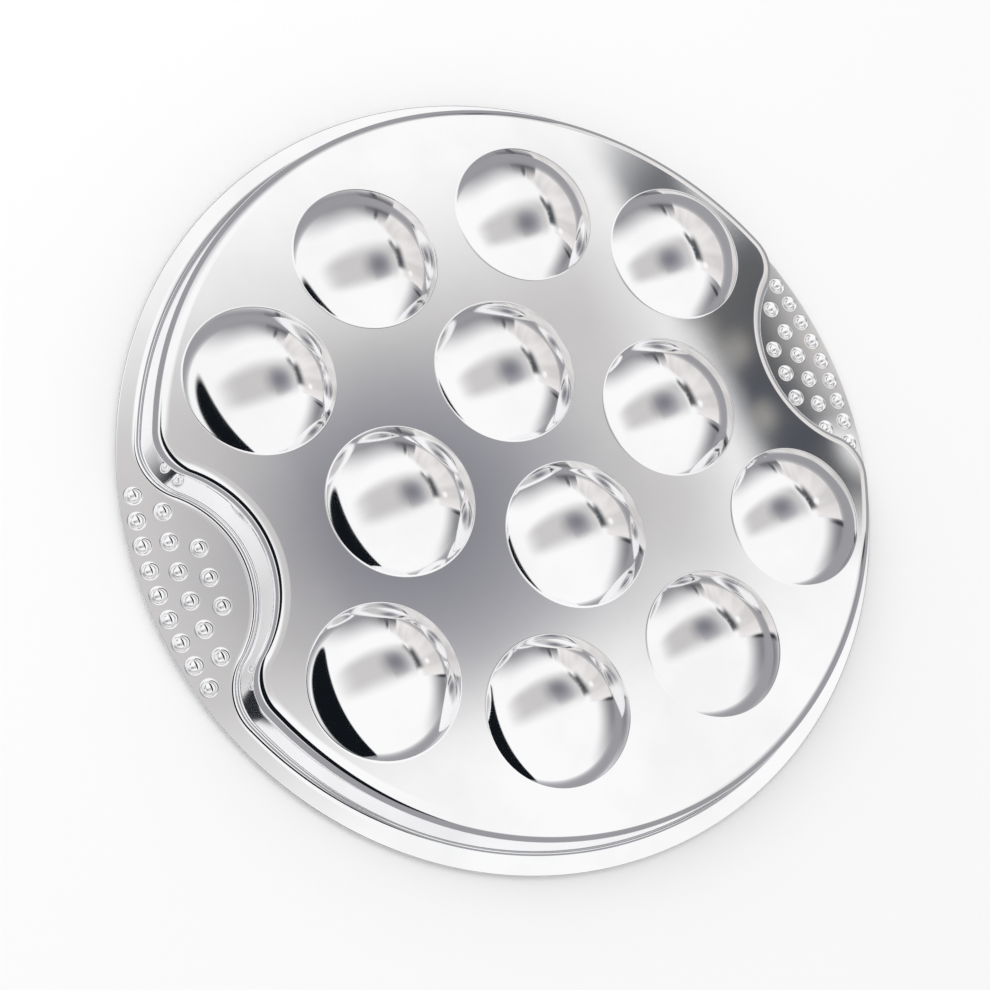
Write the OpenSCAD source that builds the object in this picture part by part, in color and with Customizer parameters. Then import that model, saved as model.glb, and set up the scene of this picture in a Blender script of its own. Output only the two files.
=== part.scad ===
// Escargot plate: one pressed sheet of stainless steel, lying face down. The rim and the small domes of
// its two grip pads are at the table, a wall climbs from the rim to the flat panel that is the floor of
// the dish, and twelve round hollows are pressed on from the panel, away from the rim. Two bays in the
// wall leave room for the grip pads.
// Frame: +Z up, table at z = 0, origin below the middle of the plate, grip pads at -X and +X.

/* [Plate] */
// Outer diameter of the rim
plate_d = 220; // [219:0.5:226]
// Height of the dish, from the face of the rim to the far side of the panel
dish_h = 14.8; // [14:0.1:16]
// Thickness of the sheet
sheet = 0.8; // [0.6:0.1:1]

/* [Wall] */
// Flat width of the rim between its edge and the wall
rim_w = 3.8; // [3:0.1:4.2]
// Width of the wall between the flat rim and the flat panel, seen from above
wall_w = 7.5; // [7:0.1:8]
// Radius of the rounded foot of the wall, on the outside of the dish
foot_r = 2; // [1.5:0.1:2.4]
// Radius of the rounded shoulder of the panel, on the outside of the dish
shoulder_r = 4; // [3:0.1:4.4]

/* [Grip bays] */
// Radius of the bay that the wall makes round a grip pad
bay_r = 27.5; // [25:0.5:29]
// Distance from the edge of the rim out to the centre of the bay
bay_out = 1.4; // [0.4:0.2:2.4]
// Radius of the corners between the bay and the round wall
corner_r = 16.2; // [14:0.2:18]

/* [Hollows] */
// Diameter of a hollow where it leaves the flat panel
hollow_d = 40.6; // [38:0.2:41.6]
// Depth of a hollow beyond the panel
hollow_h = 9; // [7:0.2:10.6]
// Radius of the rounded mouth of a hollow, inside the dish
mouth_r = 1.6; // [1.2:0.1:2]
// Inner pair of hollows towards the grips, from the middle
inner_x = 42.4; // [41.6:0.1:43.4]
// Inner pair of hollows across the plate, from the middle
inner_y = 24; // [22.5:0.1:25]
// Four side hollows, along the grip axis
side_x = 65.2; // [64:0.1:65.8]
// Four side hollows, across the grip axis
side_y = 41.5; // [40.5:0.1:42]
// Four end hollows, along the grip axis
end_x = 24.8; // [23:0.1:26]
// Four end hollows, across the grip axis
end_y = 65.1; // [64:0.1:67]

/* [Grip domes] */
// Diameter of a dome at its foot
dome_d = 4.8; // [4:0.1:5.2]
// Height of a dome beyond the face of the pad
dome_h = 1.3; // [0.9:0.1:1.6]
// Distance from the edge of the rim to the outer row of domes
dome_in = 3.7; // [3.2:0.1:4.2]
// Distance between the rows of domes
row_gap = 6.8; // [6.2:0.1:7.2]
// Spacing of the domes in the outer row
outer_pitch = 6.6; // [6.2:0.1:6.8]
// Spacing of the domes in the two inner rows
inner_pitch = 8; // [7:0.1:8.2]

/* [Hidden] */
steel = [0.80, 0.80, 0.82];
plate_r = plate_d / 2;
// flat margin of the sheet that is drawn with a bend, so that the bend is part of the flat beside it
lap = 0.5;
// wall profile: foot bend, straight run and shoulder bend, all of one sheet thickness
bend = shoulder_r + foot_r;
run_h = dish_h - sheet - bend;
wall_slope = atan2(run_h, wall_w) + asin(bend / norm([wall_w, run_h]));
// wall outline at the foot: round wall, bay and the corners that touch both; the two directions are
// kept to hundredths of a degree and the rest follows from them, so that the arcs meet exactly
foot_rr = plate_r - rim_w;
to_corner = foot_rr - corner_r;
bay_mid = plate_r + bay_out;
corner_a = hundredth(acos((pow(to_corner, 2) - pow(bay_r + corner_r, 2) + pow(bay_mid, 2))
    / (2 * to_corner * bay_mid)));
corner = to_corner * [cos(corner_a), sin(corner_a)];
bay_a = hundredth(atan2(corner[1], bay_mid - corner[0]));
bay_x = corner[0] + corner[1] / tan(bay_a);
bay_rr = corner[1] / sin(bay_a) - corner_r;
// hollow: a ball that runs into the flat panel through its mouth
hollow_r = hollow_d / 2;
panel_z = dish_h - sheet;
mouth_reach = (pow(hollow_r, 2) + pow(hollow_h, 2)) / (2 * hollow_h);
ball_r = mouth_reach - mouth_r;
ball_z = panel_z + hollow_h - ball_r;
mouth_a = asin(hollow_r / mouth_reach);
// dome: a ball cut off by the pad
dome_r = dome_d / 2;
dome_ball = (pow(dome_r, 2) + pow(dome_h, 2)) / (2 * dome_h);
dome_z = dome_ball - dome_h;
dome_rows = [
    [plate_r - dome_in, outer_pitch, [-4 : 4]],
    [plate_r - dome_in - row_gap, inner_pitch, [-2.5 : 2.5]],
    [plate_r - dome_in - 2 * row_gap, inner_pitch, [-1 : 1]]
];
far = 2 * plate_d;
below = 50;

function hundredth(v) = round(v * 100) / 100;
function coarse(v) = round(v * 1000) / 1000;
// points of an arc about c, from direction a0 to a1 in n steps
function arc(c, r, a0, a1, n) = [for (i = [0 : n]) let (a = a0 + (a1 - a0) * i / n) c + r * [cos(a), sin(a)]];

module shift(v) {
    // move in two steps, which keeps long decimals exact
    rough = [for (x = v) coarse(x)];
    translate(rough) translate(v - rough) children();
}

function wall_points() =
    // the sheet in section: x runs from the rim inwards to the panel, y is the height above the rim's face
    let (foot = [0, sheet + foot_r], top = [wall_w, dish_h - shoulder_r])
    concat(
        [[-lap, 0]], arc(foot, foot_r + sheet, -90, wall_slope - 90, 6),
        arc(top, shoulder_r - sheet, 90 + wall_slope, 90, 6),
        [[wall_w + lap, panel_z], [wall_w + lap, dish_h]],
        arc(top, shoulder_r, 90, 90 + wall_slope, 8),
        arc(foot, foot_r, wall_slope - 90, -90, 5), [[-lap, sheet]]
    );

module raised_wall(centre, r, a0, a1, side) {
    // wall along an arc of radius r; the panel lies inside the arc for side -1 and outside it for side 1
    shift([centre[0], centre[1], 0])
        rotate_extrude(angle = a1 - a0, start = a0, $fn = 120)
            shift([r, 0]) polygon([for (p = wall_points()) [side * p[0], p[1]]]);
}

module wall() {
    for (s = [0, 180]) rotate([0, 0, s]) {
        raised_wall([0, 0], foot_rr, corner_a, 180 - corner_a, -1);
        raised_wall(corner, corner_r, -bay_a, corner_a, -1);
        raised_wall([corner[0], -corner[1]], corner_r, -corner_a, bay_a, -1);
        raised_wall([bay_x, 0], bay_rr, 180 - bay_a, 180 + bay_a, 1);
    }
}

module outline(inset) {
    // plan of the wall outline moved inwards from its foot line, filled
    difference() {
        circle(r = foot_rr - inset, $fn = 180);
        for (s = [0, 180]) rotate(s)
            polygon([[plate_r / 4, 0], [corner[0], -corner[1]], far * [cos(corner_a), -sin(corner_a)],
                [2 * far, 0], far * [cos(corner_a), sin(corner_a)], corner]);
    }
    for (s = [0, 180]) rotate(s) {
        for (m = [-1, 1]) translate([corner[0], m * corner[1]]) circle(r = corner_r - inset + 0.05, $fn = 72);
        difference() {
            polygon([[0, 0], [corner[0], -corner[1]], [bay_x, 0], corner]);
            translate([bay_x, 0]) circle(r = bay_rr + inset, $fn = 96);
        }
    }
}

module rim() {
    // flat ring with both grip pads, and the domes that are pressed out of the pads towards the table
    difference() {
        union() {
            linear_extrude(sheet) difference() {
                circle(r = plate_r, $fn = 180);
                outline(-lap / 2);
            }
            at_domes() rotate_extrude($fn = 24) intersection() {
                translate([0, dome_z]) circle(r = dome_ball, $fn = 48);
                translate([0, sheet / 2 - below]) square([dome_ball, below]);
            }
        }
        at_domes() translate([0, 0, dome_z]) sphere(r = dome_ball - sheet, $fn = 24);
    }
}

module at_domes() {
    for (s = [0, 180], row = dome_rows, k = row[2])
        rotate([0, 0, s + k * row[1] / row[0] * 180 / PI]) translate([row[0], 0, 0]) children();
}

module panel() {
    translate([0, 0, panel_z]) linear_extrude(sheet) difference() {
        outline(wall_w + lap / 2);
        at_hollows() circle(r = hollow_r + lap / 4, $fn = 72);
    }
}

module hollow() {
    // round hollow that stands up from the panel, with its mouth and a narrow flat margin
    ball = [0, ball_z];
    mouth = [hollow_r, panel_z + mouth_r];
    rotate_extrude($fn = 72) polygon(concat(
        arc(ball, ball_r, 90, 90 - mouth_a, 14), arc(mouth, mouth_r, -90 - mouth_a, -90, 6),
        [[hollow_r + lap / 2, panel_z], [hollow_r + lap / 2, dish_h]],
        arc(mouth, mouth_r - sheet, -90, -90 - mouth_a, 4), arc(ball, ball_r + sheet, 90 - mouth_a, 90, 14)
    ));
}

module at_hollows() {
    for (s = [-1, 1]) {
        translate([s * inner_x, 0]) children();
        translate([0, s * inner_y]) children();
        for (t = [-1, 1]) {
            translate([s * side_x, t * side_y]) children();
            translate([s * end_x, t * end_y]) children();
        }
    }
}

module plate() {
    color(steel) translate([0, 0, dome_h]) union() {
        rim();
        wall();
        panel();
        at_hollows() hollow();
    }
}

plate();
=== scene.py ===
"""Escargot plate: one round sheet of mirror polished stainless steel, face down on a pale floor.

The plate is made here as it is made in a press shop. A flat blank is laid out with all the lines
along which it will bend, and a press then raises the wall, draws the twelve hollows on from the
panel and pushes the small grip domes out of the two end pads, towards the table. The blank is mesh
code; the press is a Geometry Nodes tree, because the whole shape follows one rule: a sheet of even
thickness round a middle surface.
Lengths are real ones in metres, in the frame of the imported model: +Z up, table at z = 0.
"""

import logging
import math
from dataclasses import dataclass, field
from enum import Enum
from typing import Any, Callable, Iterable, Mapping, Sequence

import bpy
import numpy as np
from bpy.types import ID, Material, Node, NodeSocket, NodeTree, Object
from mathutils import Matrix, Vector
from mathutils.geometry import delaunay_2d_cdt


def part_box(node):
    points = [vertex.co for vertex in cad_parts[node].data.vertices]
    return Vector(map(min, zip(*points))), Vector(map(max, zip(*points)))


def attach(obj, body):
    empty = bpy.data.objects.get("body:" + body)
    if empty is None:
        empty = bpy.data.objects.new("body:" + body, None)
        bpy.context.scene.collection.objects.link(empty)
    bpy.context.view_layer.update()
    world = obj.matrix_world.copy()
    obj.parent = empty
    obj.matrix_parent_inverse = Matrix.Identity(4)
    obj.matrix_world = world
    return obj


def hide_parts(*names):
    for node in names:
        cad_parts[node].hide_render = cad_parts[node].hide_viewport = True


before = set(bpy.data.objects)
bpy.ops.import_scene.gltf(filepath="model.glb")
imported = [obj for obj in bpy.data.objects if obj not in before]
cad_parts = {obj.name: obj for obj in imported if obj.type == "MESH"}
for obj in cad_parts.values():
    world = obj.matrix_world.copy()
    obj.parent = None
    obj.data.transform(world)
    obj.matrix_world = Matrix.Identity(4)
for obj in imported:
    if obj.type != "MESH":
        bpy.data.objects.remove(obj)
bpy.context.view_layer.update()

LOG = logging.getLogger("escargot_plate")
PIECE = "pressed_plate"
MM_PER_M = 1000.0
WHITE = "#FFFFFF"

# Names of the nodes that the trees use most.
MATH = "ShaderNodeMath"
VECTOR = "ShaderNodeVectorMath"
RANGE = "ShaderNodeMapRange"
NOISE = "ShaderNodeTexNoise"

# Insets that stand for the two flats: the rim outside the wall and the panel inside it.
RIM_INSET = -1.0
PANEL_INSET = 1.0

# Names of the sizes that the press takes for the wall and for each kind of round form.
WALL_SIZES = ("Wall width", "Foot radius", "Shoulder radius", "Wall slope")
FORM_SIZES = ("radius", "ball radius", "bend radius", "steepest lean")

Triple = tuple[float, float, float]


class Way(Enum):
    """The way in which a round form is pressed out of the flat sheet, as a sign along +Z."""

    UP = 1.0
    DOWN = -1.0


class Outline(Enum):
    """The outline of a studio card."""

    STRAIGHT = "straight"
    OVAL = "oval"


def mm(value: float) -> float:
    """Return a length in millimetres as metres."""
    return value / MM_PER_M


def srgb(code: str) -> tuple[float, float, float, float]:
    """Turn an sRGB hex colour into the linear colour that Blender's nodes take.

    Args:
        code: Six hex digits, with or without a leading #.

    Returns:
        Linear red, green, blue and an alpha of 1.
    """
    digits = code.lstrip("#")
    parts = [int(digits[i:i + 2], 16) / 255.0 for i in (0, 2, 4)]
    linear = [p / 12.92 if p <= 0.04045 else ((p + 0.055) / 1.055) ** 2.4 for p in parts]
    return (linear[0], linear[1], linear[2], 1.0)


def per_size(size: float) -> float:
    """Return the noise scale that gives a pattern with features of about this real size."""
    return 1.0 / size


def circle(radius: float, count: int) -> list[Vector]:
    """Return plan positions spread evenly round a circle about the origin, anticlockwise."""
    angles = [2.0 * math.pi * k / count for k in range(count)]
    return [Vector((radius * math.cos(a), radius * math.sin(a))) for a in angles]


def add_object(name: str, data: ID) -> Object:
    """Put a new object into the scene.

    Args:
        name: Its name.
        data: Its mesh, lamp or camera.

    Returns:
        The object.
    """
    made = bpy.data.objects.new(name, data)
    bpy.context.scene.collection.objects.link(made)
    return made


def add_mesh(name: str, points: Sequence[Sequence[float]],
             faces: Sequence[Sequence[int]] = ()) -> Object:
    """Put a new mesh object into the scene.

    Args:
        name: Its name.
        points: Its points.
        faces: Its faces by point number.

    Returns:
        The object.
    """
    mesh = bpy.data.meshes.new(name)
    mesh.from_pydata(points, [], faces)
    return add_object(name, mesh)


def new_material(name: str) -> tuple[Material, NodeTree]:
    """Make a material with no nodes yet.

    Args:
        name: Its name.

    Returns:
        The material and its node tree.
    """
    made = bpy.data.materials.new(name)
    made.use_nodes = True
    made.node_tree.nodes.clear()
    return made, made.node_tree


def add_node(tree: NodeTree, kind: str,
             inputs: Sequence[Any] | Mapping[Any, Any] = (), **settings: Any) -> Node:
    """Add a node with its settings, values and links.

    Args:
        tree: The node tree that gets the node.
        kind: The node's type name.
        inputs: Values for the node's enabled inputs in order, or a mapping from input name or
            index. A value may be a plain value, a socket, or a node (its first enabled output).
        **settings: Properties set on the node before its inputs.

    Returns:
        The new node.
    """
    node = tree.nodes.new(kind)
    for name, value in settings.items():
        setattr(node, name, value)
    pairs = inputs.items() if isinstance(inputs, Mapping) else enumerate(inputs)
    enabled = [socket for socket in node.inputs if socket.enabled]
    for key, value in pairs:
        socket = enabled[key] if isinstance(key, int) else node.inputs[key]
        if isinstance(value, Node):
            value = next(out for out in value.outputs if out.enabled)
        if isinstance(value, NodeSocket):
            tree.links.new(value, socket)
        else:
            socket.default_value = value
    return node


@dataclass(frozen=True)
class RoundForm:
    """A round form in the sheet: a ball that runs into the flat round it through a bend.

    The same rule makes a hollow and a dome, one to each side. All radii are of the middle surface.

    Attributes:
        radius: Distance from the centre at which the form leaves the flat.
        depth: How far the middle of the form is moved from the flat.
        edge: Radius of the bend between the ball and the flat.
    """

    radius: float
    depth: float
    edge: float

    @property
    def reach(self) -> float:
        """Radius of the ball plus the bend."""
        return (self.radius ** 2 + self.depth ** 2) / (2.0 * self.depth)

    @property
    def ball(self) -> float:
        """Radius of the ball."""
        return self.reach - self.edge

    @property
    def lean(self) -> float:
        """Sine of the steepest slope, where the ball meets the bend."""
        return self.radius / self.reach

    def rings(self, ball_steps: int, edge_steps: int) -> list[float]:
        """Return where the blank gets a ring, evenly spread in slope.

        Args:
            ball_steps: Rings on the ball.
            edge_steps: Rings on the bend.

        Returns:
            Radii from the flat inwards, without the centre.
        """
        steepest = math.asin(self.lean)
        bend = [self.radius - self.edge * math.sin(steepest * k / edge_steps)
                for k in range(edge_steps)]
        ball = [self.ball * math.sin(steepest * k / ball_steps) for k in range(ball_steps, 0, -1)]
        return bend + ball


@dataclass
class Station:
    """A point on the foot line of the wall, and the direction in which the sheet climbs there."""

    point: Vector
    inward: Vector


@dataclass
class Blank:
    """The flat sheet before pressing: points on the middle surface and the faces between them.

    Attributes:
        points: Plan positions.
        inset: Distance of each point inwards from the foot line of the wall.
        inward: Direction in which the wall climbs at each point.
        faces: Faces by point number, anticlockwise seen from above.
    """

    points: list[Vector] = field(default_factory=list)
    inset: list[float] = field(default_factory=list)
    inward: list[Vector] = field(default_factory=list)
    faces: list[tuple[int, ...]] = field(default_factory=list)

    # Distance in mm under which two points would merge, and twice the least area of a face.
    MERGE = 1e-7
    SLIVER = 1e-9

    def add_ring(self, points: Iterable[Vector], inset: float,
                 inward: Iterable[Vector] | None = None) -> list[int]:
        """Add a ring of points.

        Args:
            points: Plan positions, anticlockwise.
            inset: Their distance inwards from the foot line.
            inward: The direction in which the wall climbs at each point, where they lie on it.

        Returns:
            The numbers of the new points.
        """
        first = len(self.points)
        self.points.extend(points)
        count = len(self.points) - first
        self.inset.extend([inset] * count)
        self.inward.extend(inward if inward is not None else [Vector((0.0, 0.0))] * count)
        return list(range(first, first + count))

    def bridge(self, outer: Sequence[int], inner: Sequence[int]) -> None:
        """Join two rings of the same number of points with a band of quads.

        Args:
            outer: Numbers of the points of the outer ring.
            inner: Numbers of the points of the inner ring.
        """
        for k in range(len(outer)):
            n = (k + 1) % len(outer)
            self.faces.append((outer[k], outer[n], inner[n], inner[k]))

    def round_form(self, centre: Vector, radii: Sequence[float], segments: int,
                   inset: float) -> list[int]:
        """Lay out a hollow or dome as rings round a centre.

        Args:
            centre: Plan position of its centre.
            radii: Radii of its rings, from the outside inwards.
            segments: Points in each ring.
            inset: The inset of the flat that it is pressed from.

        Returns:
            The numbers of the outermost ring.
        """
        turns = circle(1.0, segments)
        rings = [self.add_ring([centre + turn * radius for turn in turns], inset)
                 for radius in radii]
        for outer, inner in zip(rings, rings[1:]):
            self.bridge(outer, inner)
        middle = self.add_ring([centre], inset)[0]
        last = rings[-1]
        self.faces.extend((middle, last[k], last[(k + 1) % segments]) for k in range(segments))
        return rings[0]

    def fill(self, outer: Sequence[int], holes: Sequence[Sequence[int]]) -> None:
        """Fill a flat region between a ring and the rings that lie in it.

        Args:
            outer: The ring round the region.
            holes: Rings of the forms in it, which stay open.
        """
        loops = [list(outer), *[list(hole) for hole in holes]]
        numbers = [n for loop in loops for n in loop]
        plan = [self.points[n] * MM_PER_M for n in numbers]
        starts = np.cumsum([0, *map(len, loops)]).tolist()
        spans = list(zip(starts, starts[1:]))
        edges = [(start + k, start + (k + 1) % (end - start))
                 for start, end in spans for k in range(end - start)]
        made, _, triangles, origins, *_ = delaunay_2d_cdt(plan, edges, [], 0, self.MERGE)
        if len(made) != len(plan):
            raise ValueError("two rings of the blank touch")
        corners = np.array([[origins[v][0] for v in face] for face in triangles])
        flat = np.array([tuple(p) for p in plan])
        middle = flat[corners].mean(axis=1)
        within = [self._inside(middle, flat[start:end]) for start, end in spans]
        keep = within[0] & ~np.logical_or.reduce(within[1:])
        a, b, c = (flat[corners[:, k]] for k in range(3))
        turn = ((b[:, 0] - a[:, 0]) * (c[:, 1] - a[:, 1])
                - (b[:, 1] - a[:, 1]) * (c[:, 0] - a[:, 0]))
        for face, kept, way in zip(corners, keep, turn):
            if kept and abs(way) > self.SLIVER:
                order = face if way > 0.0 else face[::-1]
                self.faces.append(tuple(numbers[v] for v in order))

    @staticmethod
    def _inside(points: np.ndarray, loop: np.ndarray) -> np.ndarray:
        """Tell which points lie inside a closed loop.

        Args:
            points: Plan positions, one a row.
            loop: The loop's corners in order.

        Returns:
            One truth value a point.
        """
        x, y = points[:, :1], points[:, 1:]
        ax, ay = loop[:, 0], loop[:, 1]
        bx, by = np.roll(ax, -1), np.roll(ay, -1)
        spans = (ay > y) != (by > y)
        with np.errstate(divide="ignore", invalid="ignore"):
            cross = (bx - ax) * (y - ay) / (by - ay) + ax
        return (spans & (x < cross)).sum(axis=1) % 2 == 1


@dataclass
class Wall:
    """The wall between the rim and the panel, with a bay round each grip pad.

    Attributes:
        plate_r: Radius of the rim's edge.
        dish_h: Height of the dish, from the face of the rim to the far side of the panel.
        sheet: Thickness of the sheet.
        rim_w: Flat width of the rim outside the wall.
        width: Width of the wall seen from above.
        foot_r: Radius of the bend at its foot, on the upper skin.
        shoulder_r: Radius of the bend at its shoulder, on the upper skin.
        bay_r: Radius of a bay, before its centre is settled.
        bay_out: Distance of the bay's middle outside the rim's edge.
        corner_r: Radius of the corners beside a bay.
        plan_steps: Mesh steps along a long arc, a corner and a bay.
        climb_steps: Mesh steps up the foot, the straight run and the shoulder.
    """

    plate_r: float
    dish_h: float
    sheet: float = mm(0.8)
    rim_w: float = mm(3.8)
    width: float = mm(7.5)
    foot_r: float = mm(2.0)
    shoulder_r: float = mm(4.0)
    bay_r: float = mm(27.5)
    bay_out: float = mm(1.4)
    corner_r: float = mm(16.2)
    plan_steps: tuple[int, int, int] = (168, 24, 44)
    climb_steps: tuple[int, int, int] = (8, 3, 10)

    @property
    def foot(self) -> float:
        """Radius of the foot bend on the middle surface."""
        return self.foot_r + self.sheet / 2.0

    @property
    def shoulder(self) -> float:
        """Radius of the shoulder bend on the middle surface."""
        return self.shoulder_r - self.sheet / 2.0

    @property
    def slope(self) -> float:
        """Slope of the straight part of the wall.

        Returns:
            Its angle from the table.
        """
        both = self.foot_r + self.shoulder_r
        rise = self.dish_h - self.sheet - both
        return math.atan2(rise, self.width) + math.asin(both / math.hypot(self.width, rise))

    def stations(self) -> list[Station]:
        """Walk round the foot line of the wall, anticlockwise.

        The two directions that settle the bays are kept to hundredths of a degree, as they are in
        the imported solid.

        Returns:
            Points along the two long arcs, the four corners and the two bays.
        """
        line = self.plate_r - self.rim_w
        reach = line - self.corner_r
        middle = self.plate_r + self.bay_out
        turn = math.acos((reach ** 2 - (self.bay_r + self.corner_r) ** 2 + middle ** 2)
                         / (2.0 * reach * middle))
        turn = math.radians(round(math.degrees(turn), 2))
        corner = Vector((reach * math.cos(turn), reach * math.sin(turn)))
        bay = math.radians(round(math.degrees(math.atan2(corner.y, middle - corner.x)), 2))
        bay_centre = Vector((corner.x + corner.y / math.tan(bay), 0.0))
        bay_line = corner.y / math.sin(bay) - self.corner_r
        below = Vector((corner.x, -corner.y))
        long_steps, corner_steps, bay_steps = self.plan_steps
        # Each arc of one half: centre, radius, first and last direction, steps, and which way the
        # wall climbs along the radius.
        half = [
            (Vector((0.0, 0.0)), line, turn, math.pi - turn, long_steps, -1.0),
            (-below, self.corner_r, math.pi - turn, math.pi + bay, corner_steps, -1.0),
            (-bay_centre, bay_line, bay, -bay, bay_steps, 1.0),
            (-corner, self.corner_r, math.pi - bay, math.pi + turn, corner_steps, -1.0),
        ]
        walk = []
        for flip in (1.0, -1.0):
            for centre, radius, start, end, count, way in half:
                for k in range(count):
                    angle = start + (end - start) * k / count
                    out = Vector((math.cos(angle), math.sin(angle))) * flip
                    walk.append(Station(centre * flip + out * radius, out * way))
        return walk

    def insets(self) -> list[float]:
        """Space the rings of the blank up the wall, evenly in slope over its bends.

        Returns:
            Their distances inwards from the foot line.
        """
        low, straight, high = self.climb_steps
        bend = [self.foot * math.sin(self.slope * k / low) for k in range(low + 1)]
        top = [self.width - self.shoulder * math.sin(self.slope * k / high)
               for k in range(high, -1, -1)]
        run = [bend[-1] + (top[0] - bend[-1]) * k / straight for k in range(1, straight)]
        return bend + run + top


@dataclass
class Hollows:
    """The twelve round hollows that are drawn on from the panel, one for each snail.

    Attributes:
        form: Their shape.
        inner: The pair towards the grips and the pair across the plate, each by its distance.
        side: Place of the four hollows beside the bays.
        end: Place of the four hollows at the round ends.
        segments: Mesh steps round a hollow.
        steps: Mesh steps across its ball and its bend.
    """

    form: RoundForm
    inner: tuple[float, float] = (mm(42.4), mm(24.0))
    side: tuple[float, float] = (mm(65.2), mm(41.5))
    end: tuple[float, float] = (mm(24.8), mm(65.1))
    segments: int = 84
    steps: tuple[int, int] = (15, 6)

    def centres(self) -> list[Vector]:
        """Place the twelve hollows.

        Returns:
            Their plan positions.
        """
        pairs = [Vector((self.inner[0], 0.0)), Vector((-self.inner[0], 0.0)),
                 Vector((0.0, self.inner[1])), Vector((0.0, -self.inner[1]))]
        fours = [Vector((across * place[0], along * place[1]))
                 for place in (self.side, self.end) for across in (-1, 1) for along in (-1, 1)]
        return pairs + fours

    def lay_out(self, blank: Blank) -> list[list[int]]:
        """Add the hollows to the blank, and return the outer ring of each."""
        radii = self.form.rings(*self.steps)
        return [blank.round_form(centre, radii, self.segments, PANEL_INSET)
                for centre in self.centres()]


@dataclass
class GripDomes:
    """The small domes of the two grip pads, which keep the plate from slipping in the fingers.

    Attributes:
        plate_r: Radius of the rim's edge, from which the rows are measured.
        form: Shape of a dome.
        edge_gap: Distance from the rim's edge to the outer row.
        row_gap: Distance between the rows.
        counts: Domes in each row of a pad, from the outer row inwards.
        pitches: Their spacing in each row.
        segments: Mesh steps round a dome.
        steps: Mesh steps across its ball and its bend.
    """

    plate_r: float
    form: RoundForm
    edge_gap: float = mm(3.7)
    row_gap: float = mm(6.8)
    counts: tuple[int, int, int] = (9, 6, 3)
    pitches: Triple = (mm(6.6), mm(8.0), mm(8.0))
    segments: int = 24
    steps: tuple[int, int] = (5, 3)

    def centres(self) -> list[Vector]:
        """Place the domes, row by row on both pads.

        Returns:
            Their plan positions.
        """
        spots = []
        for side in (1, -1):
            for row, (count, pitch) in enumerate(zip(self.counts, self.pitches)):
                radius = self.plate_r - self.edge_gap - row * self.row_gap
                angles = [pitch / radius * (k - (count - 1) / 2.0) for k in range(count)]
                spots += [Vector((radius * math.cos(a), radius * math.sin(a))) * side
                          for a in angles]
        return spots

    def lay_out(self, blank: Blank) -> list[list[int]]:
        """Add the domes to the blank, and return the outer ring of each."""
        radii = self.form.rings(*self.steps)
        return [blank.round_form(centre, radii, self.segments, RIM_INSET)
                for centre in self.centres()]


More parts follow.
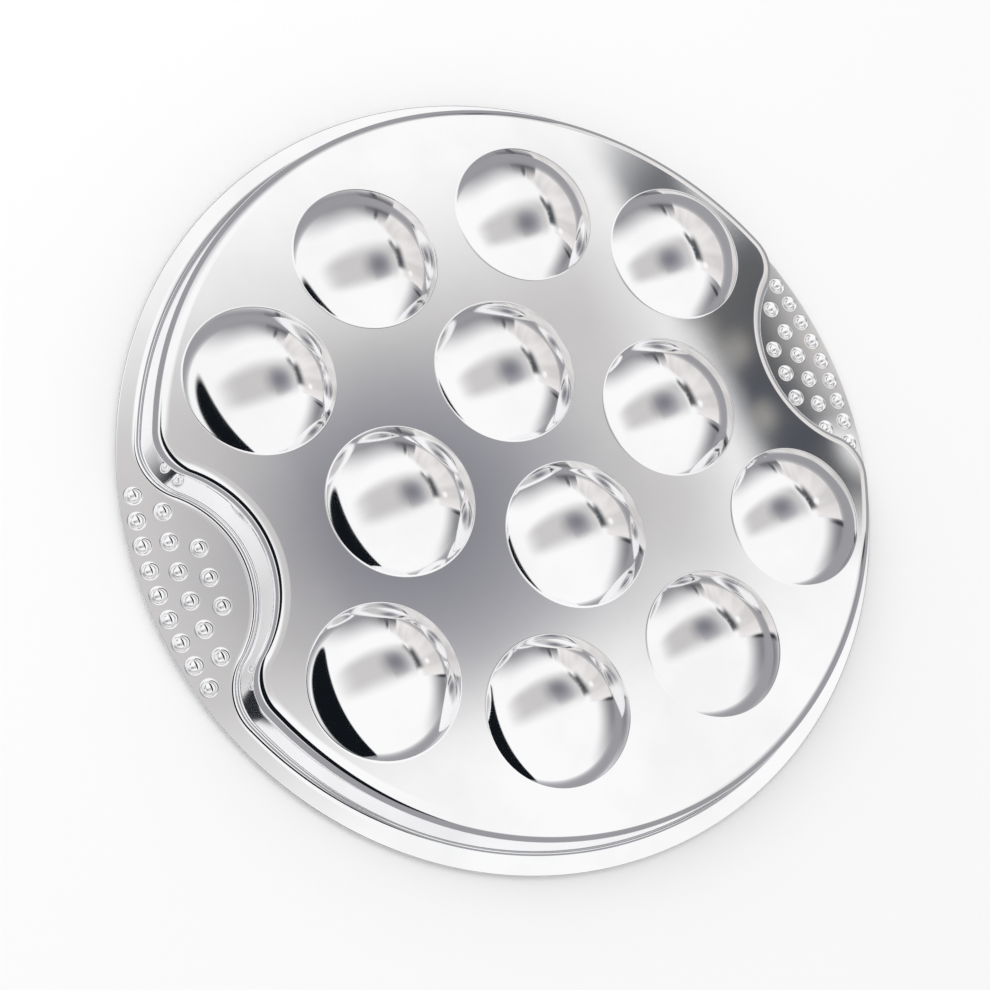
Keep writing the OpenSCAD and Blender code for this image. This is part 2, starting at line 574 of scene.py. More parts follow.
@dataclass
class Press:
    """The press: a Geometry Nodes tree that bends the flat blank into the plate.

    Attributes:
        wall: The wall that it raises.
        hollows: The hollows that it draws up.
        domes: The grip domes that it pushes down.
    """

    wall: Wall
    hollows: Hollows
    domes: GripDomes

    @staticmethod
    def _tree(name: str, takes: Mapping[str, str], gives: Mapping[str, str]) -> NodeTree:
        """Make an empty tree with named inputs and outputs.

        Args:
            name: The tree's name.
            takes: The type of each input by its name, without NodeSocket.
            gives: The type of each output by its name, without NodeSocket.

        Returns:
            The tree.
        """
        tree = bpy.data.node_groups.new(name, "GeometryNodeTree")
        for way, sockets in (("INPUT", takes), ("OUTPUT", gives)):
            for label, kind in sockets.items():
                tree.interface.new_socket(name=label, in_out=way,
                                          socket_type="NodeSocket" + kind)
        return tree

    def round_form_tree(self) -> NodeTree:
        """Build the rule for one round form: how far a point moves, and how much it leans there.

        Returns:
            A group from a distance and the form's sizes to Move and Lean.
        """
        tree = self._tree("round form", dict.fromkeys(("Distance", *FORM_SIZES), "Float"),
                          dict.fromkeys(("Move", "Lean"), "Float"))
        distance, radius, ball_r, bend_r, steepest = add_node(tree, "NodeGroupInput").outputs[:5]
        change = add_node(tree, MATH, (ball_r, steepest), operation="MULTIPLY")
        bend = add_node(tree, RANGE, (distance, change, radius, steepest, 0.0))
        ball = add_node(tree, RANGE, (distance, 0.0, change, 0.0, steepest))
        angles = [add_node(tree, MATH, (sine,), operation="ARCSINE")
                  for sine in (bend, ball, steepest)]
        in_bend, in_ball, limit = [add_node(tree, MATH, (a,), operation="COSINE") for a in angles]
        bend_part = add_node(tree, MATH, (1.0, in_bend), operation="SUBTRACT")
        bend_move = add_node(tree, MATH, (bend_part, bend_r), operation="MULTIPLY")
        ball_part = add_node(tree, MATH, (in_ball, limit), operation="SUBTRACT")
        move = add_node(tree, MATH, (ball_part, ball_r, bend_move), operation="MULTIPLY_ADD")
        lean = add_node(tree, MATH, (bend, ball), operation="MINIMUM")
        add_node(tree, "NodeGroupOutput", {"Move": move, "Lean": lean})
        return tree

    def wall_tree(self) -> NodeTree:
        """Build the rule for the wall: how high the sheet is at an inset, and how much it leans.

        Returns:
            A group from an inset and the wall's sizes to Height and Lean.
        """
        tree = self._tree("wall", dict.fromkeys(("Inset", *WALL_SIZES), "Float"),
                          dict.fromkeys(("Height", "Lean"), "Float"))
        inset, width, foot_r, shoulder_r, slope = add_node(tree, "NodeGroupInput").outputs[:5]
        steepest, limit, climb = [add_node(tree, MATH, (slope,), operation=name)
                                  for name in ("SINE", "COSINE", "TANGENT")]
        foot_end = add_node(tree, MATH, (foot_r, steepest), operation="MULTIPLY")
        top_part = add_node(tree, MATH, (shoulder_r, steepest), operation="MULTIPLY")
        top_start = add_node(tree, MATH, (width, top_part), operation="SUBTRACT")
        run = add_node(tree, MATH, (top_start, foot_end), operation="SUBTRACT")
        rise = add_node(tree, MATH, (run, climb), operation="MULTIPLY")
        foot = add_node(tree, RANGE, (inset, 0.0, foot_end, 0.0, steepest))
        top = add_node(tree, RANGE, (inset, top_start, width, steepest, 0.0))
        straight = add_node(tree, RANGE, (inset, foot_end, top_start, 0.0, rise))
        angles = [add_node(tree, MATH, (sine,), operation="ARCSINE") for sine in (foot, top)]
        in_foot, in_top = [add_node(tree, MATH, (a,), operation="COSINE") for a in angles]
        foot_part = add_node(tree, MATH, (1.0, in_foot), operation="SUBTRACT")
        top_part = add_node(tree, MATH, (in_top, limit), operation="SUBTRACT")
        lower = add_node(tree, MATH, (foot_part, foot_r, straight), operation="MULTIPLY_ADD")
        height = add_node(tree, MATH, (top_part, shoulder_r, lower), operation="MULTIPLY_ADD")
        lean = add_node(tree, MATH, (foot, top), operation="MINIMUM")
        add_node(tree, "NodeGroupOutput", {"Height": height, "Lean": lean})
        return tree

    def build(self) -> NodeTree:
        """Build the press itself.

        Returns:
            The tree for a modifier on the blank.
        """
        sizes = ("Sheet thickness", "Rim height", *WALL_SIZES,
                 *[f"{kind} {size}" for kind in ("Hollow", "Dome") for size in FORM_SIZES])
        tree = self._tree("press", {"Blank": "Geometry", "Hollow centres": "Object",
                                    "Dome centres": "Object", "Finish": "Material",
                                    **dict.fromkeys(sizes, "Float")}, {"Pressed": "Geometry"})
        given = add_node(tree, "NodeGroupInput").outputs
        place = add_node(tree, "GeometryNodeInputPosition")
        side, rim, inset = [
            add_node(tree, "GeometryNodeInputNamedAttribute", (name,), data_type="FLOAT")
            for name in ("side", "rim", "inset")]
        inward = add_node(tree, "GeometryNodeInputNamedAttribute", ("inward",),
                          data_type="FLOAT_VECTOR")
        wall = add_node(tree, "GeometryNodeGroup", (inset, *[given[name] for name in WALL_SIZES]),
                        node_tree=self.wall_tree()).outputs
        rule = self.round_form_tree()
        moved = wall["Height"]
        # The tilt is the level part of the upper skin's normal, as long as the sine of the slope.
        tilt = add_node(tree, VECTOR, {0: inward, "Scale": wall["Lean"]}, operation="SCALE")
        tilt = add_node(tree, VECTOR, ((0.0, 0.0, 0.0), tilt), operation="SUBTRACT")
        for kind, way in (("Hollow", Way.UP), ("Dome", Way.DOWN)):
            spots = add_node(tree, "GeometryNodeObjectInfo", {"Object": given[kind + " centres"]},
                             transform_space="ORIGINAL").outputs["Geometry"]
            near = add_node(tree, "GeometryNodeProximity", {0: spots, "Sample Position": place},
                            target_element="POINTS").outputs
            values = [given[f"{kind} {size}"] for size in FORM_SIZES]
            form = add_node(tree, "GeometryNodeGroup", (near["Distance"], *values),
                            node_tree=rule).outputs
            change = add_node(tree, MATH, (form["Move"], way.value), operation="MULTIPLY")
            moved = add_node(tree, MATH, (moved, change), operation="ADD")
            to_centre = add_node(tree, VECTOR, (near["Position"], place), operation="SUBTRACT")
            pull = add_node(tree, VECTOR, (to_centre,), operation="NORMALIZE")
            lean = add_node(tree, MATH, (form["Lean"], -way.value), operation="MULTIPLY")
            part = add_node(tree, VECTOR, {0: pull, "Scale": lean}, operation="SCALE")
            tilt = add_node(tree, VECTOR, (tilt, part), operation="ADD")
        slant = add_node(tree, VECTOR, (tilt,), operation="LENGTH").outputs["Value"]
        angle = add_node(tree, MATH, (slant,), operation="ARCSINE")
        upright = add_node(tree, MATH, (angle,), operation="COSINE")
        rise = add_node(tree, "ShaderNodeCombineXYZ", {"Z": upright})
        normal = add_node(tree, VECTOR, (tilt, rise), operation="ADD")
        skin_part = add_node(tree, VECTOR, {0: normal, "Scale": side}, operation="SCALE")
        outward = add_node(tree, VECTOR, (place,), operation="NORMALIZE")
        rim_part = add_node(tree, VECTOR, {0: outward, "Scale": rim}, operation="SCALE")
        skin = add_node(tree, VECTOR, (skin_part, rim_part), operation="ADD")
        half = add_node(tree, MATH, (given["Sheet thickness"], 0.5), operation="MULTIPLY")
        middle = add_node(tree, MATH, (given["Rim height"], half), operation="ADD")
        height = add_node(tree, MATH, (moved, middle), operation="ADD")
        lift = add_node(tree, "ShaderNodeCombineXYZ", {"Z": height})
        thick = add_node(tree, VECTOR, {0: skin, "Scale": half}, operation="SCALE")
        offset = add_node(tree, VECTOR, (lift, thick), operation="ADD")
        kept = add_node(tree, "GeometryNodeStoreNamedAttribute",
                        {"Geometry": given["Blank"], "Name": "skin", "Value": skin},
                        data_type="FLOAT_VECTOR", domain="POINT")
        pressed = add_node(tree, "GeometryNodeSetPosition", {"Geometry": kept, "Offset": offset})
        whole = add_node(tree, "GeometryNodeRealizeInstances", {"Geometry": pressed})
        dressed = add_node(tree, "GeometryNodeSetMaterial",
                           {"Geometry": whole, "Material": given["Finish"]})
        add_node(tree, "NodeGroupOutput", {"Pressed": dressed})
        return tree

    def sizes(self) -> dict[str, float]:
        """Collect what the press needs to know of the parts.

        Returns:
            The value of each of its sizes by name.
        """
        wall = self.wall
        values = {"Sheet thickness": wall.sheet, "Rim height": self.domes.form.depth}
        values |= zip(WALL_SIZES, (wall.width, wall.foot, wall.shoulder, wall.slope))
        for kind, form in (("Hollow", self.hollows.form), ("Dome", self.domes.form)):
            for size, value in zip(FORM_SIZES, (form.radius, form.ball, form.edge, form.lean)):
                values[f"{kind} {size}"] = value
        return values

    def close_on(self, blank: Object, finish: Material) -> None:
        """Press the blank, and leave it a plain mesh with the smooth normals of the true surface.

        Args:
            blank: The object with the flat blank.
            finish: The material that the plate gets.
        """
        tree = self.build()
        # Loose points tell the press where its forms are.
        tools = {f"{kind} centres": add_mesh(f"{kind}_centres", [(*spot, 0.0) for spot in spots])
                 for kind, spots in (("Hollow", self.hollows.centres()),
                                     ("Dome", self.domes.centres()))}
        modifier = blank.modifiers.new("press", "NODES")
        modifier.node_group = tree
        given = {**self.sizes(), **tools, "Finish": finish}
        for socket in tree.interface.items_tree:
            if socket.in_out == "INPUT" and socket.name in given:
                modifier[socket.identifier] = given[socket.name]
        bpy.context.view_layer.update()
        graph = bpy.context.evaluated_depsgraph_get()
        mesh = bpy.data.meshes.new_from_object(blank.evaluated_get(graph),
                                               preserve_all_data_layers=True, depsgraph=graph)
        blank.modifiers.remove(modifier)
        flat = blank.data
        blank.data = mesh
        bpy.data.meshes.remove(flat)
        mesh.name = PIECE
        for tool in tools.values():
            bpy.data.objects.remove(tool)
        skin = np.empty(len(mesh.vertices) * 3, dtype=np.float32)
        mesh.attributes["skin"].data.foreach_get("vector", skin)
        normals = skin.reshape(-1, 3)
        normals /= np.linalg.norm(normals, axis=1, keepdims=True)
        mesh.shade_smooth()
        mesh.normals_split_custom_set_from_vertices(normals.tolist())
        for name in ("side", "rim", "inset", "inward", "skin"):
            mesh.attributes.remove(mesh.attributes[name])
        mesh.update()


@dataclass(frozen=True)
class PolishedStainless:
    """Stainless steel sheet, cold pressed and then buffed to a mirror on a cloth wheel.

    The eye gets near-white to slate reflections with hard edges, which waver over the flats where
    the press has pulled the sheet, under a faint haze from the buffing.

    Attributes:
        bright: Colour of the steel where it is freshly buffed.
        dull: Colour where handling has left a thin film.
        film: Size of the patches of that film.
        film_span: Part of the film's noise over which the colour changes.
        haze_span: Part of the film's noise over which the roughness changes.
        roughness: Lowest and highest roughness over the surface.
        pull: Size and height of the waves that pressing leaves in the flats.
        ripple: Size and height of the shorter waves from the rolled sheet.
        buffing: Width and depth of the marks of the cloth wheel, drawn coarser than the real
            ones, which are too fine to show.
        buffing_turn: Direction of the marks, in degrees.
        buffing_stretch: Width of a mark as a share of its length.
    """

    bright: str = "#FAFAFB"
    dull: str = "#F4F4F5"
    film: float = mm(26.0)
    film_span: tuple[float, float] = (0.42, 0.68)
    haze_span: tuple[float, float] = (0.3, 0.75)
    roughness: tuple[float, float] = (0.035, 0.085)
    pull: tuple[float, float] = (mm(34.0), mm(0.060))
    ripple: tuple[float, float] = (mm(9.0), mm(0.004))
    buffing: tuple[float, float] = (mm(0.5), mm(0.0006))
    buffing_turn: float = 24.0
    buffing_stretch: float = 0.06

    def build(self) -> Material:
        """Build the material.

        Returns:
            The finished material.
        """
        finish, tree = new_material("stainless_steel_mirror_buffed")
        place = add_node(tree, "ShaderNodeTexCoord").outputs["Object"]
        film = add_node(tree, NOISE, {"Vector": place, "Scale": per_size(self.film),
                                      "Detail": 4.0, "Roughness": 0.55})
        cover = add_node(tree, RANGE, (film, *self.film_span, 0.0, 1.0))
        colour = add_node(tree, "ShaderNodeMix", (cover, srgb(self.bright), srgb(self.dull)),
                          data_type="RGBA")
        haze = add_node(tree, RANGE, (film, *self.haze_span, *self.roughness))
        waves = []
        for size, height in (self.pull, self.ripple):
            wave = add_node(tree, NOISE, {"Vector": place, "Scale": per_size(size), "Detail": 1.0})
            waves.append(add_node(tree, MATH, (wave, height), operation="MULTIPLY"))
        turned = add_node(tree, "ShaderNodeMapping",
                          {"Vector": place, "Scale": (self.buffing_stretch, 1.0, 1.0),
                           "Rotation": (0.0, 0.0, math.radians(self.buffing_turn))})
        width, depth = self.buffing
        marks = add_node(tree, NOISE, {"Vector": turned, "Scale": per_size(width), "Detail": 2.0})
        waves.append(add_node(tree, MATH, (marks, depth), operation="MULTIPLY"))
        total = add_node(tree, MATH, (waves[0], waves[1]), operation="ADD")
        total = add_node(tree, MATH, (total, waves[2]), operation="ADD")
        bump = add_node(tree, "ShaderNodeBump",
                        {"Strength": 1.0, "Distance": 1.0, "Height": total})
        steel = add_node(tree, "ShaderNodeBsdfPrincipled",
                         {"Base Color": colour, "Metallic": 1.0, "Roughness": haze,
                          "Normal": bump})
        add_node(tree, "ShaderNodeOutputMaterial", {"Surface": steel})
        return finish


@dataclass
class Plate:
    """The escargot plate: one pressed sheet.

    Attributes:
        wall: The wall with its bays.
        hollows: The twelve hollows.
        domes: The grip domes.
        finish: The finish of the steel.
        edge_points: Mesh steps round the plate at its edge.
        edge_steps: Mesh steps over the rounded cut edge of the sheet.
    """

    wall: Wall
    hollows: Hollows
    domes: GripDomes
    finish: PolishedStainless
    edge_points: int = 512
    edge_steps: int = 6

    @classmethod
    def from_box(cls, low: Sequence[float], high: Sequence[float]) -> "Plate":
        """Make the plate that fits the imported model's box.

        Args:
            low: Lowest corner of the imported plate.
            high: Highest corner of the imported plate.

        Returns:
            The plate with all its sizes.
        """
        radius = min(high[0], high[1], -low[0], -low[1])
        half = Wall.sheet / 2.0
        hollow = RoundForm(radius=mm(20.3), depth=mm(9.0), edge=mm(1.6) - half)
        dome = RoundForm(radius=mm(2.65), depth=mm(1.3), edge=mm(0.4) + half)
        wall = Wall(plate_r=radius, dish_h=high[2] - low[2] - hollow.depth - dome.depth)
        return cls(wall, Hollows(hollow), GripDomes(radius, dome), PolishedStainless())

    def lay_out(self) -> tuple[Blank, list[int]]:
        """Lay out the flat blank.

        Returns:
            The blank and the numbers of the points along its cut edge.
        """
        blank = Blank()
        stations = self.wall.stations()
        ways = [station.inward for station in stations]
        rings = [blank.add_ring([s.point + s.inward * inset for s in stations], inset, ways)
                 for inset in self.wall.insets()]
        for outer, inner in zip(rings, rings[1:]):
            blank.bridge(outer, inner)
        edge_r = self.wall.plate_r - self.wall.sheet / 2.0
        edge = blank.add_ring(circle(edge_r, self.edge_points), RIM_INSET)
        blank.fill(edge, [rings[0], *self.domes.lay_out(blank)])
        blank.fill(rings[-1], self.hollows.lay_out(blank))
        return blank, edge

    def sheet_object(self) -> Object:
        """Make the blank an object with both skins and a rounded cut edge, still in one plane.

        Returns:
            The flat object; its attributes say where each point lies in the thickness.
        """
        blank, edge = self.lay_out()
        count = len(blank.points)
        number = np.arange(count)
        faces = blank.faces + [tuple(v + count for v in reversed(face)) for face in blank.faces]
        source, side = [number, number], [np.ones(count), -np.ones(count)]
        rim = [np.zeros(2 * count)]
        rows = [list(edge)]
        for k in range(1, self.edge_steps):
            angle = math.pi * (0.5 - k / self.edge_steps)
            start = sum(len(part) for part in source)
            rows.append(list(range(start, start + len(edge))))
            source.append(np.array(edge))
            side.append(np.full(len(edge), math.sin(angle)))
            rim.append(np.full(len(edge), math.cos(angle)))
        rows.append([v + count for v in edge])
        for upper, lower in zip(rows, rows[1:]):
            for k in range(len(edge)):
                n = (k + 1) % len(edge)
                faces.append((upper[k], lower[k], lower[n], upper[n]))
        picked = np.concatenate(source)
        flat, climb = np.zeros((2, len(picked), 3))
        flat[:, :2] = np.array([tuple(p) for p in blank.points])[picked]
        climb[:, :2] = np.array([tuple(w) for w in blank.inward])[picked]
        made = add_mesh(PIECE, flat.tolist(), faces)
        layers = made.data.attributes
        for name, values in (("side", np.concatenate(side)), ("rim", np.concatenate(rim)),
                             ("inset", np.array(blank.inset)[picked])):
            layers.new(name, "FLOAT", "POINT").data.foreach_set("value", values)
        layers.new("inward", "FLOAT_VECTOR", "POINT").data.foreach_set("vector", climb.ravel())
        return made

    def build(self) -> Object:
        """Build the finished piece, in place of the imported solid.

        Returns:
            The piece.
        """
        piece = self.sheet_object()
        Press(self.wall, self.hollows, self.domes).close_on(piece, self.finish.build())
        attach(piece, "root")
        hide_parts("plate")
        LOG.info("%s: %d vertices, %d faces", piece.name, len(piece.data.vertices),
                 len(piece.data.polygons))
        return piece


@dataclass(frozen=True)
class TentCloth:
    """Plain woven cloth of the light tent, smooth or in soft upright folds.

    It glows with its own tone, so that the steel mirrors it as it is written; that glow is painted
    light, the light and shade of the tent given as a fixed tone.

    Attributes:
        colour: Colour of the cloth.
        shade: Painted shade in the depth of its folds, or none where it hangs smooth.
        folds: Width of the folds.
        stretch: Width of a fold as a share of its height.
        fold_span: Part of the folds' noise over which the colour changes.
    """

    colour: str
    shade: str = ""
    folds: float = mm(40.0)
    stretch: float = 0.18
    fold_span: tuple[float, float] = (0.42, 0.66)

    def dress(self, item: Object,
              cover: Callable[[NodeTree, NodeSocket], Node]) -> None:
        """Give a stage object this cloth, so that only the steel sees it.

        Args:
            item: The object.
            cover: Makes the value that is 1 where the cloth is whole and 0 where it is clear,
                from the node tree and the Object coordinates.
        """
        cloth, tree = new_material(item.name + "_glowing_tent_cloth")
        place = add_node(tree, "ShaderNodeTexCoord").outputs["Object"]
        tone = srgb(self.colour)
        # The darker tone in the folds is painted shade.
        if self.shade:
            hang = add_node(tree, "ShaderNodeMapping",
                            {"Vector": place, "Scale": (1.0, self.stretch, 1.0)})
            fold = add_node(tree, NOISE,
                            {"Vector": hang, "Scale": per_size(self.folds), "Detail": 2.0})
            depth = add_node(tree, RANGE, (fold, *self.fold_span, 0.0, 1.0))
            tone = add_node(tree, "ShaderNodeMix", (depth, tone, srgb(self.shade)),
                            data_type="RGBA")
        # The emission is painted light: the cloth glows with its tone instead of being lit.
        clear = add_node(tree, "ShaderNodeBsdfTransparent")
        glow = add_node(tree, "ShaderNodeEmission", {"Color": tone, "Strength": 1.0})
        mixed = add_node(tree, "ShaderNodeMixShader", (cover(tree, place), clear, glow))
        add_node(tree, "ShaderNodeOutputMaterial", {"Surface": mixed})
        item.data.materials.append(cloth)
        item.visible_camera = False
        item.visible_diffuse = False
        item.visible_shadow = False


@dataclass(frozen=True)
class MattePaper:
    """Uncoated white paper from a roll, which gives the eye an even white that holds a shadow.

    Attributes:
        colour: Its colour.
        grain: Size of its grain, drawn coarser than its fibres, which are too fine to show.
        relief: Strength and height of the grain.
    """

    colour: str = "#FBFBFB"
    grain: float = mm(3.0)
    relief: tuple[float, float] = (0.05, mm(0.1))

    def build(self) -> Material:
        """Build the material.

        Returns:
            The finished material.
        """
        paper, tree = new_material("matte_white_paper")
        place = add_node(tree, "ShaderNodeTexCoord").outputs["Object"]
        grain = add_node(tree, NOISE, {"Vector": place, "Scale": per_size(self.grain)})
        strength, height = self.relief
        bump = add_node(tree, "ShaderNodeBump",
                        {"Strength": strength, "Distance": height, "Height": grain})
        sheet = add_node(tree, "ShaderNodeBsdfDiffuse",
                         {"Color": srgb(self.colour), "Normal": bump})
        add_node(tree, "ShaderNodeOutputMaterial", {"Surface": sheet})
        return paper


@dataclass(frozen=True)
class Card:
    """A grey or dark card of the studio, which only the steel sees.

    Attributes:
        name: What it is called.
        centre: Its middle.
        size: Its two sides.
        facing: The direction that it faces.
        cloth: What it is covered with.
        fades: How far it fades out at its left, right, lower and upper side, or all round.
        outline: Its outline; only an oval fades out all round.
        once: Whether only a first reflection shows it, so that it leaves no second image.
    """

    name: str
    centre: Triple
    size: tuple[float, float]
    facing: Triple
    cloth: TentCloth
    fades: tuple[float, ...]
    outline: Outline = Outline.STRAIGHT
    once: bool = False

    # The narrowest fade, and the ray depth between a first reflection and a second.
    SHARP = mm(0.1)
    FIRST = 1.5

    def build(self) -> Object:
        """Build the card.

        Returns:
            The card.
        """
        wide, high = self.size[0] / 2.0, self.size[1] / 2.0
        corners = [(-wide, -high, 0.0), (wide, -high, 0.0), (wide, high, 0.0), (-wide, high, 0.0)]
        card = add_mesh(self.name, corners, [(0, 1, 2, 3)])
        turn = Vector(self.facing).to_track_quat("Z", "Y").to_matrix().to_4x4()
        card.matrix_world = Matrix.Translation(self.centre) @ turn
        self.cloth.dress(card, self._cover)
        return card

    def _cover(self, tree: NodeTree, place: NodeSocket) -> Node:
        """Make the value that is 1 on the card and fades to 0 towards its outline.

        Args:
            tree: The node tree of its cloth.
            place: The Object coordinates.

        Returns:
            The node that gives the value.
        """
        # Each part is a distance, and where the fade starts and ends along it.
        if self.outline is Outline.OVAL:
            spread = (2.0 / self.size[0], 2.0 / self.size[1], 0.0)
            unit = add_node(tree, VECTOR, (place, spread), operation="MULTIPLY")
            away = add_node(tree, VECTOR, (unit,), operation="LENGTH").outputs["Value"]
            parts = [(away, 1.0 - 2.0 * self.fades[0] / self.size[0], 1.0)]
        else:
            axes = add_node(tree, "ShaderNodeSeparateXYZ", (place,)).outputs
            parts = []
            for number, fade in enumerate(self.fades):
                axis, upper = divmod(number, 2)
                side = 1.0 if upper else -1.0
                away = add_node(tree, MATH, (axes[axis], side), operation="MULTIPLY")
                edge = self.size[axis] / 2.0
                parts.append((away, edge - max(fade, self.SHARP), edge))
        covers = [add_node(tree, RANGE, (*part, 1.0, 0.0), interpolation_type="SMOOTHSTEP")
                  for part in parts]
        if self.once:
            depth = add_node(tree, "ShaderNodeLightPath").outputs["Ray Depth"]
            covers.append(add_node(tree, MATH, (depth, self.FIRST), operation="LESS_THAN"))
        cover = covers[0]
        for part in covers[1:]:
            cover = add_node(tree, MATH, (cover, part), operation="MULTIPLY")
        return cover


@dataclass
class Studio:
    """The pale floor, the soft light, what the steel mirrors, and the camera.

    Attributes:
        cards: The cards round the plate.
        floor_r: Radius of the floor.
        paper: What the floor is made of.
        ring_r: Inner and outer radius of the grey ring round the plate.
        ring_z: Height of its inner and outer edge.
        ring_fade: Radius at which it starts to fade out.
        ring_cloth: Its glowing grey tone, which is painted light.
        sides: Sides of the floor and of the ring.
        fill: Strength of the even light from all round.
        lamp_at: Place of the soft lamp.
        lamp_size: Side of the lamp.
        lamp_power: Power of the lamp, in watts.
        sensor: Width of the camera's sensor, in millimetres.
        lens: Focal length of the camera, in millimetres.
        distance: Distance of the camera from its target.
        azimuth: Direction of the camera round the plate, in degrees.
        elevation: Height of the camera above the table, in degrees.
        roll: Turn of the camera about its line of sight, in degrees.
        shift: Shift of the frame, in widths.
        target: Point that the camera is aimed at.
    """

    cards: Sequence[Card]
    floor_r: float = 3.0
    paper: MattePaper = MattePaper()
    ring_r: tuple[float, float] = (0.113, 0.42)
    ring_z: tuple[float, float] = (0.0003, 0.100)
    ring_fade: float = 0.17
    ring_cloth: TentCloth = TentCloth("#9E9EA2")
    sides: int = 96
    fill: float = 0.86
    lamp_at: Triple = (-0.35, 0.75, 0.95)
    lamp_size: float = 0.9
    lamp_power: float = 3.6
    sensor: float = 36.0
    lens: float = 62.56
    distance: float = 0.47334
    azimuth: float = 197.866
    elevation: float = 62.930
    roll: float = 50.584
    shift: tuple[float, float] = (-0.02763, -0.02878)
    target: Triple = (0.0, 0.0, 0.0022)

    def camera(self) -> Object:
        """Build the camera at the photograph's angle.

        Returns:
            The camera.
        """
        data = bpy.data.cameras.new("studio_camera")
        data.lens = self.lens
        data.sensor_width = self.sensor
        data.sensor_fit = "HORIZONTAL"
        data.shift_x, data.shift_y = self.shift
        data.clip_start = mm(10.0)
        data.dof.use_dof = False
        azimuth, elevation, roll = map(math.radians, (self.azimuth, self.elevation, self.roll))
        back = Vector((math.cos(elevation) * math.cos(azimuth),
                       math.cos(elevation) * math.sin(azimuth), math.sin(elevation)))
        level = Vector((0.0, 0.0, 1.0)).cross(back).normalized()
        above = back.cross(level)
        right = level * math.cos(roll) + above * math.sin(roll)
        up = above * math.cos(roll) - level * math.sin(roll)
        turn = Matrix((right, up, back)).transposed().to_4x4()
        made = add_object("studio_camera", data)
        made.matrix_world = Matrix.Translation(Vector(self.target) + back * self.distance) @ turn
        bpy.context.scene.camera = made
        return made

    def floor(self) -> Object:
        """Build the floor: a wide disc of matte white paper.

        Returns:
            The floor.
        """
        made = add_mesh("floor", [(*spot, 0.0) for spot in circle(self.floor_r, self.sides)],
                        [tuple(range(self.sides))])
        made.data.materials.append(self.paper.build())
        return made

    def grey_cloth(self) -> Object:
        """Build the grey ring round the plate, which only the steel sees; it rises outwards, and
        its glow is painted light that fades away from the plate.

        Returns:
            The ring.
        """
        count = self.sides
        spots = [(*spot, z) for radius, z in zip(self.ring_r, self.ring_z)
                 for spot in circle(radius, count)]
        made = add_mesh("grey_cloth", spots, [(k, count + k, count + (k + 1) % count,
                                               (k + 1) % count) for k in range(count)])
        # The ring's grey glow is painted light.
        self.ring_cloth.dress(made, self._ring_cover)
        return made

    def _ring_cover(self, tree: NodeTree, place: NodeSocket) -> Node:
        """Make the value that is 1 near the plate and fades to 0 at the ring's outer edge.

        Args:
            tree: The node tree of the cloth.
            place: The Object coordinates.

        Returns:
            The node that gives the value.
        """
        away = add_node(tree, VECTOR, (place,), operation="LENGTH").outputs["Value"]
        return add_node(tree, RANGE, (away, self.ring_fade, self.ring_r[1], 1.0, 0.0),
                        interpolation_type="SMOOTHSTEP")

    def world(self) -> None:
        """Build the even light from all round; the camera and the steel see it as white."""
        world = bpy.data.worlds.new("studio_world")
        bpy.context.scene.world = world
        world.use_nodes = True
        tree = world.node_tree
        tree.nodes.clear()
        ray = add_node(tree, "ShaderNodeLightPath").outputs
        seen = add_node(tree, MATH, (ray["Is Camera Ray"], ray["Is Glossy Ray"]), operation="ADD")
        seen = add_node(tree, MATH, (seen, ray["Is Transmission Ray"]), operation="ADD",
                        use_clamp=True)
        light, white = [add_node(tree, "ShaderNodeBackground",
                                 {"Color": srgb(WHITE), "Strength": level})
                        for level in (self.fill, 1.0)]
        mixed = add_node(tree, "ShaderNodeMixShader", (seen, light, white))
        add_node(tree, "ShaderNodeOutputWorld", {"Surface": mixed})

    def lamp(self) -> Object:
        """Build the one soft lamp that gives the plate its shadow on the floor.

        Returns:
            The lamp.
        """
        data = bpy.data.lights.new("soft_lamp", "AREA")
        data.shape = "SQUARE"
        data.size = self.lamp_size
        data.energy = self.lamp_power
        made = add_object("soft_lamp", data)
        spot = Vector(self.lamp_at)
        turn = spot.to_track_quat("Z", "Y").to_matrix().to_4x4()
        made.matrix_world = Matrix.Translation(spot) @ turn
        made.visible_glossy = False
        return made

    def build(self) -> None:
        """Build the whole studio."""
        bpy.context.scene.view_settings.view_transform = "Standard"
        self.camera()
        self.floor()
        self.grey_cloth()
        self.world()
        self.lamp()
        for card in self.cards:
            card.build()
            LOG.info("studio card %s", card.name)


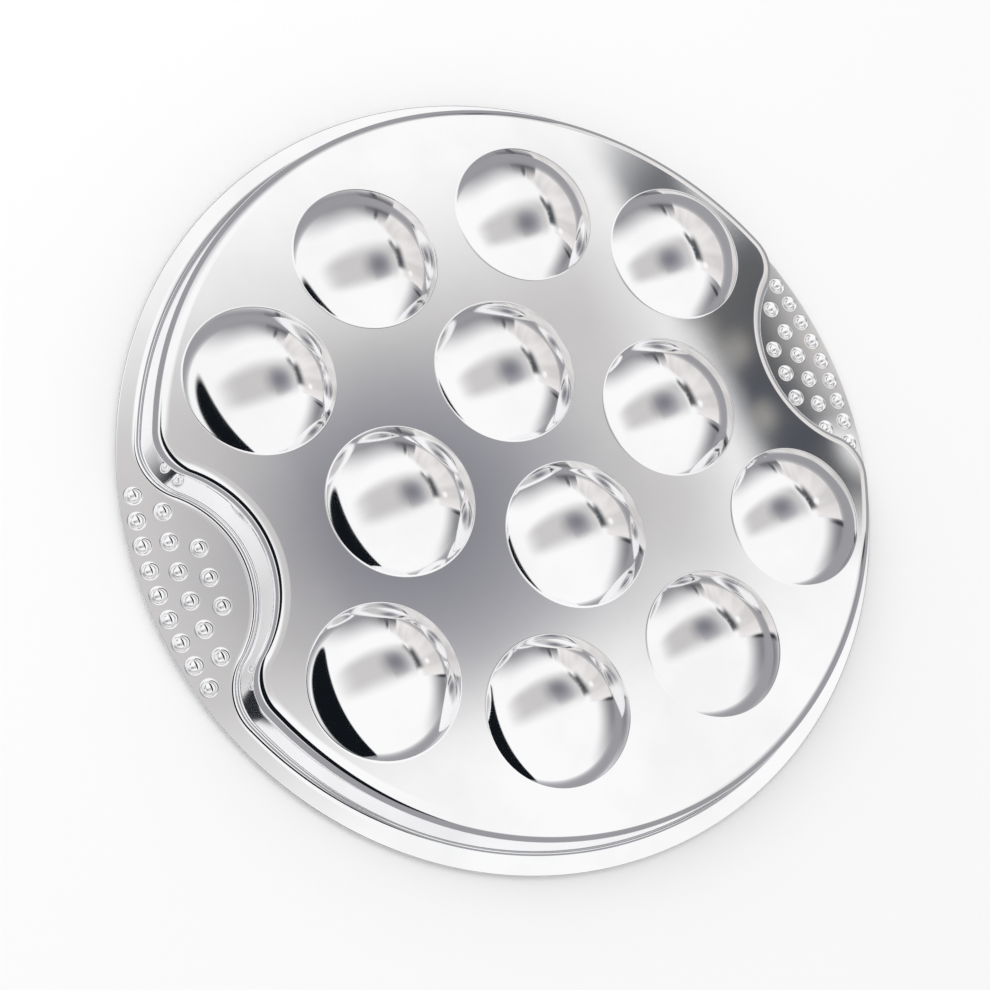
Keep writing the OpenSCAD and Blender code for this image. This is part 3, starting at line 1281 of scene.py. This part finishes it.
def studio_cards() -> tuple[Card, ...]:
    """Place the cards of the light tent where the reflections in the steel ask for them.

    Returns:
        The cards.
    """
    down, back, forward = (0.0, 0.0, -1.0), (-1.0, 0.0, 0.0), (1.0, 0.0, 0.0)
    corner = (-0.6, -0.8, 0.0)
    # Each card glows with a fixed tone, which is painted light: the tent's light and shade as the
    # steel mirrors them.
    return (
        # The roof of the tent: a grey strip with a darker shade and a patch, the camera's shade.
        Card("roof_strip", (-0.062, 0.050, 0.264), (0.60, 0.28), down,
             TentCloth("#CECCCB"), (0.07, 0.22, 0.095, 0.10)),
        Card("roof_shade", (0.092, 0.027, 0.262), (0.168, 0.17), down,
             TentCloth("#BEBFC3"), (0.08, 0.018, 0.050, 0.055)),
        Card("roof_patch", (0.056, 0.034, 0.258), (0.23, 0.20), down,
             TentCloth("#83828A"), (0.110,), Outline.OVAL),
        Card("roof_seam", (0.300, 0.055, 0.315), (0.23, 0.165), back,
             TentCloth("#4E5158", "#73726F", mm(75.0)), (0.07, 0.05, 0.075, 0.040)),
        Card("roof_fold", (0.301, 0.155, 0.362), (0.17, 0.10), back,
             TentCloth("#6E7074"), (0.07, 0.06, 0.040, 0.030)),
        Card("seam_light_left", (0.298, 0.071, 0.352), (0.030, 0.040), back,
             TentCloth("#9C9A96"), (0.014,), Outline.OVAL),
        Card("seam_light_right", (0.298, 0.033, 0.354), (0.026, 0.036), back,
             TentCloth("#9C9A96"), (0.012,), Outline.OVAL),
        # The walls of the tent, with the seams in their corners.
        Card("back_wall", (0.305, 0.16, 0.17), (0.52, 0.36), back,
             TentCloth("#EFECEA", "#D8D5D3", mm(110.0)), (0.0, 0.0, 0.0, 0.09)),
        Card("left_wall", (-0.02, 0.42, 0.17), (0.62, 0.42), (0.0, -1.0, 0.0),
             TentCloth("#8C8C90"), (0.34, 0.0, 0.0, 0.36)),
        Card("left_fold", (0.22, 0.40, 0.13), (0.30, 0.30), corner,
             TentCloth("#66666B"), (0.20, 0.06, 0.0, 0.20)),
        Card("right_wall", (0.25, -0.34, 0.12), (0.50, 0.32), (-1.0, 0.25, 0.0),
             TentCloth("#8A8A8E"), (0.0, 0.45, 0.0, 0.20)),
        Card("left_seam", (0.262, 0.40, 0.15), (0.045, 0.30), corner,
             TentCloth("#4C4C50"), (0.020, 0.020, 0.0, 0.12)),
        Card("right_seam", (0.238, -0.095, 0.07), (0.022, 0.17), (-1.0, 0.3, 0.0),
             TentCloth("#3C3C40"), (0.010, 0.010, 0.0, 0.08)),
        Card("back_gap", (0.201, -0.017, 0.150), (0.040, 0.048), (-1.0, 0.0, -0.3),
             TentCloth(WHITE), (0.016,), Outline.OVAL),
        # The open front of the tent, with the dark room behind it.
        Card("open_front", (-0.130, -0.095, 0.048), (0.38, 0.042), forward,
             TentCloth("#12161B"), (0.025,), Outline.OVAL, once=True),
        Card("front_edge", (-0.131, -0.060, 0.044), (0.26, 0.020), forward,
             TentCloth("#26292E"), (0.05, 0.07, 0.005, 0.005)),
    )


def main() -> None:
    """Build the plate and the studio."""
    logging.basicConfig(level=logging.INFO, format="%(name)s: %(message)s")
    low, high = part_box("plate")
    Plate.from_box(low, high).build()
    Studio(cards=studio_cards()).build()


if __name__ == "__main__":
    main()
